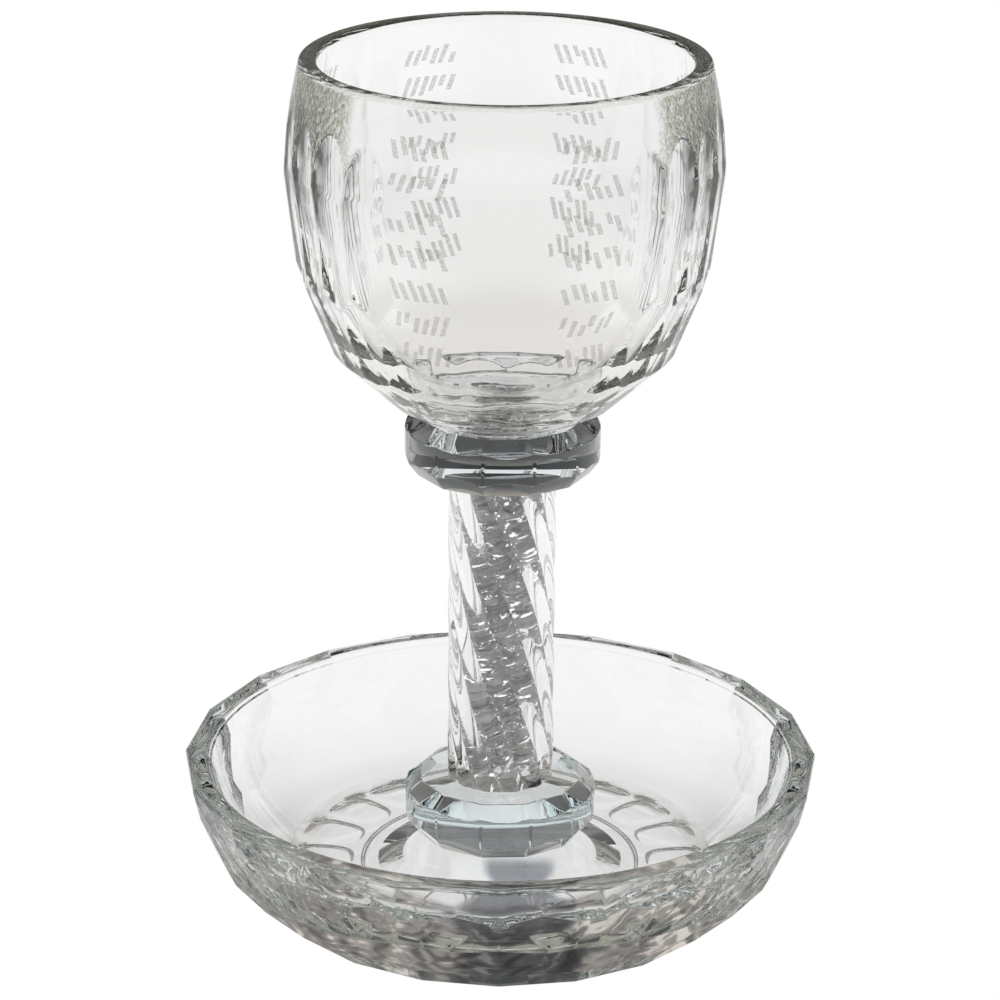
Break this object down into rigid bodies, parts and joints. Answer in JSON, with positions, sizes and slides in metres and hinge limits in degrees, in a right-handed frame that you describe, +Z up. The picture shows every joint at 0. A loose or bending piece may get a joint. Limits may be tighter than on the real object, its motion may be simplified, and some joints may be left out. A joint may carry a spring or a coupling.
{
  "type": "kiddush cup",
  "caption": "Cut-crystal kiddush cup: faceted bowl on a twisted stem between two bevelled discs, standing in a heavy faceted saucer.",
  "frame": {"origin": "under the middle of the saucer, on the surface it stands on", "axes": "+Z up, the way the cup stands, -Y towards the front window of the bowl, +X to the right seen from the front"},
  "size_m": [0.11, 0.11, 0.145],
  "materials": {
    "bowl_crystal": "clear polished crystal, ground flats on the sides",
    "disc_crystal": "clear polished crystal with bevelled edges",
    "stem_crystal": "clear crystal filled with crushed crystal",
    "saucer_crystal": "clear polished crystal, ground flats outside"
  },
  "bodies": {
    "root": {"saucer": "saucer_crystal", "foot": "disc_crystal", "stem": "stem_crystal", "collar": "disc_crystal", "bowl": "bowl_crystal"}
  },
  "joints": []
}
